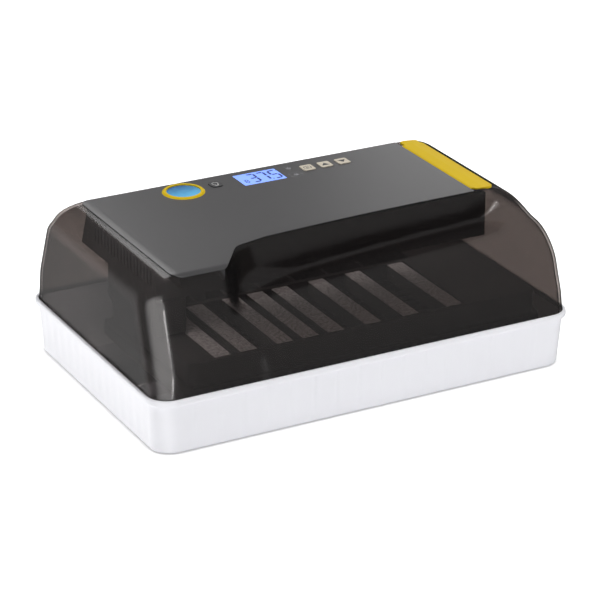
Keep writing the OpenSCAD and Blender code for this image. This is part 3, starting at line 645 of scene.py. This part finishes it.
def make_tray():
    def at(grow, z, bead=0.0, wave=0.0, r=CORNER_R):
        draft = 2.4 * (1 - (z - 1) / 44)
        return tray_ring(HALF_X + 0.6 - draft + grow, HALF_Y + 0.6 - draft + grow, r + grow, z, bead, wave)

    def rim(grow, z):
        return tray_ring(HALF_X + grow, HALF_Y + grow - 0.1, CORNER_R + grow - 1, z)

    rings = [at(-1.6, 1.0), at(-0.5, 1.25), at(0, 2.2), at(0, 3.4), at(0, 6, 0.45, 0.5), at(0, 24, 0.45, 0.5),
             at(0, 38.6, 0.45, 0.5), at(0, 40.2), at(0, 40.9),
             rim(1.2, 41.1), rim(2.3, 41.25), rim(2.85, 41.6),
             rim(3.0, 42.3), rim(3.0, 44.6), rim(2.8, 45.4), rim(2.2, 45.9), rim(1.4, 46.0), rim(0.6, 45.9),
             rim(0.35, 45.5), rim(0.35, 43.6), at(-2.8, 43.6), at(-2.8, 42.8), at(-2.8, 38, 0, 0.5),
             at(-2.8, 8, 0, 0.5), at(-2.8, 6.5), at(-3.4, 4.8), at(-4.4, 4.0)]
    n = len(rings[0])
    points = [p for ring in rings for p in ring]
    faces = [(k * n + i, k * n + (i + 1) % n, (k + 1) * n + (i + 1) % n, (k + 1) * n + i)
             for k in range(len(rings) - 1) for i in range(n)]
    last = (len(rings) - 1) * n
    faces += [tuple(reversed(range(n))), tuple(range(last, last + n))]
    made = new_object("white_tray", points, faces, WHITE)
    bm = bmesh.new()
    bm.from_mesh(made.data)
    inner, rib_t, rib_low, rib_top = HALF_X - 3.4, 2.0, 3.9, 16.0
    for y in (-66, -24, 58):
        block = bmesh.ops.create_cube(bm, size=1.0)["verts"]
        for v in block:
            v.co = (v.co.x * 2 * inner * MM, ((v.co.y + 0.5) * rib_t + y) * MM,
                    ((v.co.z + 0.5) * (rib_top - rib_low) + rib_low) * MM)
    bm.to_mesh(made.data)
    bm.free()
    for p in made.data.polygons:
        p.use_smooth = True
    smooth_by_angle(made, 50)
    return finish_piece(made, "base", "white_plastic", "base_tray")


make_tray()


# ---------- printed panel ----------

def step_line(g):
    line = [(-97 - g, -HALF_Y - 20), (-97 - g, TONGUE[1] - 8), (TONGUE[0] - g, TONGUE[1])]
    line += arc(-74, -72, 16 + g, 145, 108, 10)
    for x in range(-56, 101, 12):
        line.append((x, STEP_Y - STEP_BEND * (max(STEP_BEND_END - x, 0) / STEP_BEND_LEN) ** 2 + g))
    return line


def panel_outline():
    front = -HALF_Y + (TOP_Z - RIM_Z) * FRONT_LEAN + 0.8
    back = HALF_Y - (TOP_Z - RIM_Z) * BACK_LEAN - 1.2
    points = [(FLAP_X[0] - 2, back), (FLAP_X[0] - 2, STEP_Y + 1.6)]
    points += reversed(step_line(1.4)[3:])
    points += arc(TONGUE[0] - 7, front + 7, 7, -35, -90, 8)
    points += arc(-142, front + 9, 9, 270, 180, 10)
    points += arc(-145, back - 6, 6, 180, 90, 8)
    return points


def make_panel():
    made = sheet_on_top("panel", -156, 137.5, -95, 88, 0.03, SKIN, PANEL)
    cut(made, prism("panel_plan", panel_outline(), 100, 140), "INTERSECT")
    for i, outline in enumerate(outlines_through_top()):
        cut(made, prism(f"panel_hole_{i}", outline, 120, 140))
    tidy(made)
    made.data.materials.clear()
    made.data.materials.append(PANEL)
    bevel(made, 0.45, 3, 50)
    smooth_by_angle(made, 30)
    return finish_piece(made, "cover", "panel_film", "panel_skin")


make_panel()


# ---------- marks on the keys, display and panel ----------

SEGMENT_ENDS = {
    "a": ((0, 2), (1, 2)), "b": ((1, 2), (1, 1)), "c": ((1, 1), (1, 0)), "d": ((0, 0), (1, 0)),
    "e": ((0, 1), (0, 0)), "f": ((0, 2), (0, 1)), "g": ((0, 1), (1, 1)),
}
DIGIT_SEGMENTS = {"3": "abcdg", "5": "acdfg", "7": "abc", "8": "abcdefg", "0": "abcdef"}


def flat_marks(name, outlines, z0, z1, material, body, slot):
    """Thin printed shapes, all in one piece."""
    points, faces = [], []
    for outline in outlines:
        n, first = len(outline), len(points)
        points += [(x, y, z0) for x, y in outline] + [(x, y, z1) for x, y in outline]
        faces.append(tuple(first + n + i for i in range(n)))
        faces.append(tuple(first + i for i in reversed(range(n))))
        faces += [(first + i, first + (i + 1) % n, first + n + (i + 1) % n, first + n + i) for i in range(n)]
    return finish_piece(new_object(name, points, faces, material), body, slot)


def bar(x0, y0, x1, y1, t):
    """A straight stroke with pointed ends, from one point to another."""
    length = math.hypot(x1 - x0, y1 - y0)
    ux, uy = (x1 - x0) / length, (y1 - y0) / length
    px, py, h = -uy, ux, t / 2
    return [(x0, y0), (x0 + h * (ux - px), y0 + h * (uy - py)), (x1 - h * (ux + px), y1 - h * (uy + py)),
            (x1, y1), (x1 - h * (ux - px), y1 - h * (uy - py)), (x0 + h * (ux + px), y0 + h * (uy + py))]


def digit(glyph, x, y, w, h, t):
    strokes = []
    for segment in DIGIT_SEGMENTS[glyph]:
        (ax, ay), (bx, by) = SEGMENT_ENDS[segment]
        dx, dy = np.sign(bx - ax) * 0.3, np.sign(by - ay) * 0.3
        strokes.append(bar(x + ax * w + dx, y + ay * h / 2 + dy, x + bx * w - dx, y + by * h / 2 - dy, t))
    return strokes


def ring_strokes(points, t):
    return [bar(*points[i], *points[(i + 1) % len(points)], t) for i in range(len(points))]


def make_marks():
    lcd_top = TOP_Z + 0.5
    left, low = LCD_AT[0] - LCD_SIZE[0] / 2, LCD_AT[1] - LCD_SIZE[1] / 2
    strokes = digit("8", left + 4.4, low + 5.0, 2.4, 6.0, 1.0)
    for glyph, x in (("3", 10.6), ("7", 19.4), ("5", 29.6)):
        strokes += digit(glyph, left + x, low + 4.2, 6.0, 16.6, 1.9)
    strokes.append(round_rect(left + 27.2, left + 28.5, low + 3.7, low + 5.0, 0.3, 3))
    strokes += ring_strokes(arc(left + 37.9, low + 19.8, 0.9, 0, 360, 10)[:-1], 0.5)
    flat_marks("display_digits", strokes, lcd_top, lcd_top + 0.06, DIGIT, "cover", "display_blue")
    key_top = TOP_Z + SKIN + 0.6
    x = KEY_X[0]
    strokes = ring_strokes(round_rect(x - 3.0, x + 3.0, KEY_Y - 2.4, KEY_Y + 2.4, 1.0, 3), 0.7)
    strokes.append(bar(x - 1.6, KEY_Y, x + 1.6, KEY_Y, 1.0))
    flat_marks("set_mark", strokes, key_top - 0.02, key_top + 0.05, DARK_INK, "set_button", "key_grey")
    for name, x, turn in (("up", KEY_X[1], 1), ("down", KEY_X[2], -1)):
        shape = [(x - 3.4, KEY_Y - 2.2 * turn), (x + 3.4, KEY_Y - 2.2 * turn), (x, KEY_Y + 2.6 * turn)]
        flat_marks(f"{name}_mark", [shape], key_top - 0.02, key_top + 0.05, DARK_INK, f"{name}_button",
                   "key_grey")
    x, y = LAMP_KEY
    strokes = ring_strokes(arc(x, y + 0.9, 2.5, -45, 225, 9), 0.6)[:-1]
    strokes += [bar(x - 1.6, y - 1.2, x - 0.9, y - 3.2, 0.6), bar(x + 1.6, y - 1.2, x + 0.9, y - 3.2, 0.6),
                bar(x - 1.2, y - 3.4, x + 1.2, y - 3.4, 0.7)]
    flat_marks("lamp_mark", strokes, key_top - 0.02, key_top + 0.05, INK, "lamp_button", "light_grey")
    top = TOP_Z + SKIN
    strokes = ring_strokes(round_rect(21.4, 31.4, 49.4, 59.6, 2.2, 4), 0.45)
    strokes += [bar(25.6, 73.4, 25.6, 76.4, 0.6), bar(28.4, 73.4, 28.4, 76.4, 0.6)]
    flat_marks("light_marks", strokes, top - 0.02, top + 0.05, LIGHT, "cover", "light_grey")


make_marks()


# ---------- stage, lights, camera ----------

AIM = (0, 0, 0.08)


def make_stage():
    size = 6.0
    floor_mesh = bpy.data.meshes.new("floor")
    corners = [(-size, -size, 0), (size, -size, 0), (size, size, 0), (-size, size, 0)]
    floor_mesh.from_pydata(corners, [], [(0, 1, 2, 3)])
    floor = bpy.data.objects.new("floor", floor_mesh)
    bpy.context.scene.collection.objects.link(floor)
    material = plastic("studio_floor", (0.9, 0.9, 0.9), 0.8, vary=0.0)
    shader = material.node_tree.nodes["Principled BSDF"]
    shader.inputs["Specular IOR Level"].default_value = 0.0
    shader.inputs["Emission Color"].default_value = (1, 1, 1, 1)
    # Painted contact shadow: ambient occlusion dims the floor's glow where the tray stands close above it.
    near = material.node_tree.nodes.new("ShaderNodeAmbientOcclusion")
    near.inputs["Distance"].default_value = 0.004
    near.inputs["Color"].default_value = (0.55, 0.55, 0.55, 1)
    material.node_tree.links.new(near.outputs["Color"], shader.inputs["Emission Strength"])
    floor_mesh.materials.append(material)
    floor.visible_glossy = False


def area_light(name, at, aim, size, power, size_y=None, soft=False, card=False):
    """A softbox; soft ones light surfaces only, and cards are only seen mirrored."""
    lamp = bpy.data.lights.new(name, "AREA")
    lamp.energy, lamp.size = power, size
    if size_y:
        lamp.shape, lamp.size_y = "RECTANGLE", size_y
    holder = bpy.data.objects.new(name, lamp)
    holder.location = at
    holder.rotation_euler = (Vector(aim) - Vector(at)).to_track_quat("-Z", "Y").to_euler()
    holder.visible_glossy, holder.visible_diffuse = not soft, not card
    bpy.context.scene.collection.objects.link(holder)


def around(azimuth, elevation, distance):
    """A place at this distance from the point that the lights aim at, angles in degrees."""
    a, e = math.radians(azimuth), math.radians(elevation)
    flat = distance * math.cos(e)
    return (flat * math.cos(a), flat * math.sin(a), distance * math.sin(e) + AIM[2])


def make_world():
    """A dim room with a tall bright side and a low one, seen only in reflections."""
    world = bpy.data.worlds.new("studio")
    bpy.context.scene.world = world
    world.use_nodes = True
    tree, link = world.node_tree.nodes, world.node_tree.links
    where = tree.new("ShaderNodeTexCoord")
    sides = []
    for azimuth, z, tall, start, full, least, most in ((238, -0.1, 1.6, 0.56, 0.93, 0.28, 3.6),
                                                       (118, -0.42, 1.0, 0.7, 0.97, 0.0, 1.15)):
        squash = tree.new("ShaderNodeVectorMath")
        squash.operation = "MULTIPLY"
        squash.inputs[1].default_value = (1, 1, tall)
        link.new(where.outputs["Generated"], squash.inputs[0])
        unit = tree.new("ShaderNodeVectorMath")
        unit.operation = "NORMALIZE"
        link.new(squash.outputs["Vector"], unit.inputs[0])
        toward = tree.new("ShaderNodeVectorMath")
        toward.operation = "DOT_PRODUCT"
        turn = math.radians(azimuth)
        toward.inputs[1].default_value = Vector((math.cos(turn), math.sin(turn), z)).normalized()
        link.new(unit.outputs["Vector"], toward.inputs[0])
        level = tree.new("ShaderNodeMapRange")
        level.interpolation_type = "SMOOTHSTEP"
        level.inputs["From Min"].default_value, level.inputs["From Max"].default_value = start, full
        level.inputs["To Min"].default_value, level.inputs["To Max"].default_value = least, most
        link.new(toward.outputs["Value"], level.inputs["Value"])
        sides.append(level)
    total = tree.new("ShaderNodeMath")
    link.new(sides[0].outputs["Result"], total.inputs[0])
    link.new(sides[1].outputs["Result"], total.inputs[1])
    back = tree["Background"]
    back.inputs["Color"].default_value = (1, 1, 1, 1)
    link.new(total.outputs["Value"], back.inputs["Strength"])
    world.cycles_visibility.diffuse = False


def make_camera():
    data = bpy.data.cameras.new("camera")
    data.lens, data.sensor_width = 162.2, 36.0
    data.clip_end = 50
    camera = bpy.data.objects.new("camera", data)
    camera.location = (-0.925, -1.739, 0.908)
    look = Vector((0.4306, 0.8089, -0.4004))
    camera.rotation_euler = look.to_track_quat("-Z", "Y").to_euler()
    bpy.context.scene.collection.objects.link(camera)
    bpy.context.scene.camera = camera


make_stage()
make_world()
area_light("overhead", (0.1, 0.1, 1.9), AIM, 2.4, 36, 1.8, soft=True)
area_light("front_fill", around(290, 30, 2.4), AIM, 1.4, 14, soft=True)
area_light("left_fill", around(178, 20, 3.6), AIM, 1.8, 36, soft=True)
area_light("inside_left", (-0.15, 0.0, 0.118), (-0.15, 0, 0), 0.04, 0.2, 0.16, soft=True)
area_light("inside_middle", (0.03, 0.0, 0.088), (0.03, -0.04, 0), 0.22, 0.07, 0.06, soft=True)
area_light("shoulder", around(76.5, 33.2, 2.3), AIM, 0.4, 2.4, card=True)
area_light("back_right", around(46, 15, 2.3), AIM, 1.1, 3.0, 0.45, card=True)
area_light("streak", around(264, 12, 2.6), AIM, 0.34, 2.6, 0.2, card=True)
make_camera()
bpy.context.scene.view_settings.view_transform = "Standard"

BEVELS = {
    "set_key": 0.9, "up_key": 0.9, "down_key": 0.9, "lamp_key": 0.9, "refill_flap": 0.5, "control_box": 0.5,
    "turner_frame": 0.5, "egg_floor": 0.4, "turner_housing": 0.6, "candler_ring": 0.3, "power_inlet": 0.4,
    "turner_motor": 0.6, "heater_mount": 0.4, "fan_frame": 0.5, "back_ribs": 0.4,
}
for i in range(1, 9):
    BEVELS[f"divider_{i}"] = 0.35

for entry in frame["record"]["subparts"]:
    name = entry["node"]
    piece = nodes[name]
    for place in piece.material_slots:
        place.material = SLOT_MATERIAL[entry["material_slot"]]
    if name in BEVELS and not piece.hide_render:
        bevel(piece, BEVELS[name], 2, 40)
